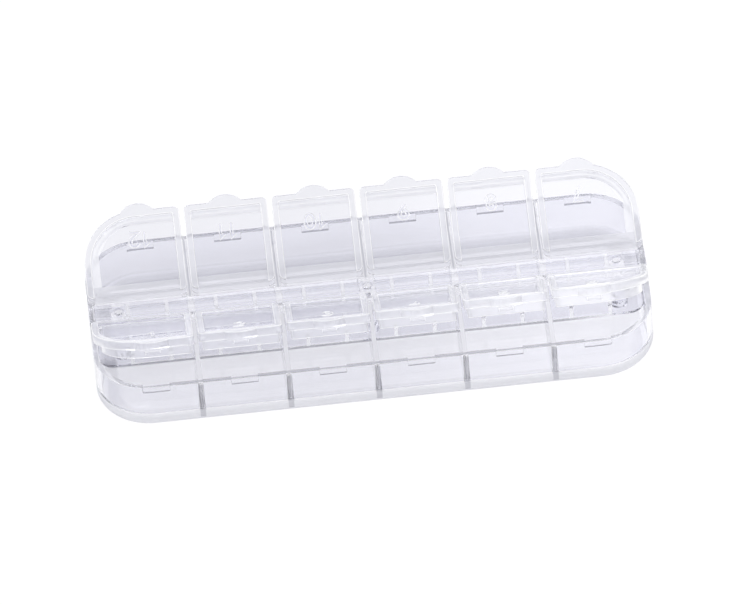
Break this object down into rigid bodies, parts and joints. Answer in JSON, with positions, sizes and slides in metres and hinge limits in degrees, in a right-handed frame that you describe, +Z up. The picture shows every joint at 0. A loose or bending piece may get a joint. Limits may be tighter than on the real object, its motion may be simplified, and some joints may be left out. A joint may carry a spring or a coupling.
{
  "type": "bobbin box",
  "caption": "Shallow clear tray with two rows of numbered cells; a strip along its middle carries a living-hinged snap lid for each cell.",
  "frame": {"origin": "middle of the tray's foot, on the surface it stands on", "axes": "+X along the two rows of cells, +Y from the front row (lids 1 to 6) to the rear row, +Z up"},
  "size_m": [0.138, 0.053, 0.0293],
  "materials": {
    "tray_clear": "clear polystyrene, polished mould",
    "lid_milky": "natural polypropylene, slightly milky",
    "hinge_film": "thin flexed polypropylene, slightly whitened"
  },
  "bodies": {
    "box": {"tray": "tray_clear", "lid_strip": "lid_milky", "hinge_01": "hinge_film", "hinge_02": "hinge_film", "hinge_03": "hinge_film", "hinge_04": "hinge_film", "hinge_05": "hinge_film", "hinge_06": "hinge_film", "hinge_07": "hinge_film", "hinge_08": "hinge_film", "hinge_09": "hinge_film", "hinge_10": "hinge_film", "hinge_11": "hinge_film", "hinge_12": "hinge_film"},
    "lid_01": {"lid_01": "lid_milky"},
    "lid_02": {"lid_02": "lid_milky"},
    "lid_03": {"lid_03": "lid_milky"},
    "lid_04": {"lid_04": "lid_milky"},
    "lid_05": {"lid_05": "lid_milky"},
    "lid_06": {"lid_06": "lid_milky"},
    "lid_07": {"lid_07": "lid_milky"},
    "lid_08": {"lid_08": "lid_milky"},
    "lid_09": {"lid_09": "lid_milky"},
    "lid_10": {"lid_10": "lid_milky"},
    "lid_11": {"lid_11": "lid_milky"},
    "lid_12": {"lid_12": "lid_milky"}
  },
  "joints": [
    {"name": "lid_01_hinge", "type": "hinge", "parent": "box", "child": "lid_01", "pos_m": [-0.0545, -0.0032, 0.015], "axis": [-1, 0, 0], "range_deg": [-27.5, 67.5], "stiffness_Nm_per_rad": 0.002, "springref_deg": 2.86, "deforming": ["hinge_01"]},
    {"name": "lid_02_hinge", "type": "hinge", "parent": "box", "child": "lid_02", "pos_m": [-0.0327, -0.0032, 0.015], "axis": [-1, 0, 0], "range_deg": [-28.6, 66.4], "stiffness_Nm_per_rad": 0.002, "springref_deg": 2.86, "deforming": ["hinge_02"]},
    {"name": "lid_03_hinge", "type": "hinge", "parent": "box", "child": "lid_03", "pos_m": [-0.0109, -0.0032, 0.015], "axis": [-1, 0, 0], "range_deg": [-29.7, 65.3], "stiffness_Nm_per_rad": 0.002, "springref_deg": 2.86, "deforming": ["hinge_03"]},
    {"name": "lid_04_hinge", "type": "hinge", "parent": "box", "child": "lid_04", "pos_m": [0.0109, -0.0032, 0.015], "axis": [-1, 0, 0], "range_deg": [-30.8, 64.2], "stiffness_Nm_per_rad": 0.002, "springref_deg": 2.86, "deforming": ["hinge_04"]},
    {"name": "lid_05_hinge", "type": "hinge", "parent": "box", "child": "lid_05", "pos_m": [0.0327, -0.0032, 0.015], "axis": [-1, 0, 0], "range_deg": [-31.9, 63.1], "stiffness_Nm_per_rad": 0.002, "springref_deg": 2.86, "deforming": ["hinge_05"]},
    {"name": "lid_06_hinge", "type": "hinge", "parent": "box", "child": "lid_06", "pos_m": [0.0545, -0.0032, 0.015], "axis": [-1, 0, 0], "range_deg": [-33, 62], "stiffness_Nm_per_rad": 0.002, "springref_deg": 2.86, "deforming": ["hinge_06"]},
    {"name": "lid_07_hinge", "type": "hinge", "parent": "box", "child": "lid_07", "pos_m": [0.0545, 0.0032, 0.015], "axis": [1, 0, 0], "range_deg": [-31, 64], "stiffness_Nm_per_rad": 0.002, "springref_deg": 2.86, "deforming": ["hinge_07"]},
    {"name": "lid_08_hinge", "type": "hinge", "parent": "box", "child": "lid_08", "pos_m": [0.0327, 0.0032, 0.015], "axis": [1, 0, 0], "range_deg": [-31, 64], "stiffness_Nm_per_rad": 0.002, "springref_deg": 2.86, "deforming": ["hinge_08"]},
    {"name": "lid_09_hinge", "type": "hinge", "parent": "box", "child": "lid_09", "pos_m": [0.0109, 0.0032, 0.015], "axis": [1, 0, 0], "range_deg": [-31, 64], "stiffness_Nm_per_rad": 0.002, "springref_deg": 2.86, "deforming": ["hinge_09"]},
    {"name": "lid_10_hinge", "type": "hinge", "parent": "box", "child": "lid_10", "pos_m": [-0.0109, 0.0032, 0.015], "axis": [1, 0, 0], "range_deg": [-31, 64], "stiffness_Nm_per_rad": 0.002, "springref_deg": 2.86, "deforming": ["hinge_10"]},
    {"name": "lid_11_hinge", "type": "hinge", "parent": "box", "child": "lid_11", "pos_m": [-0.0327, 0.0032, 0.015], "axis": [1, 0, 0], "range_deg": [-31, 64], "stiffness_Nm_per_rad": 0.002, "springref_deg": 2.86, "deforming": ["hinge_11"]},
    {"name": "lid_12_hinge", "type": "hinge", "parent": "box", "child": "lid_12", "pos_m": [-0.0545, 0.0032, 0.015], "axis": [1, 0, 0], "range_deg": [-31, 64], "stiffness_Nm_per_rad": 0.002, "springref_deg": 2.86, "deforming": ["hinge_12"]}
  ]
}
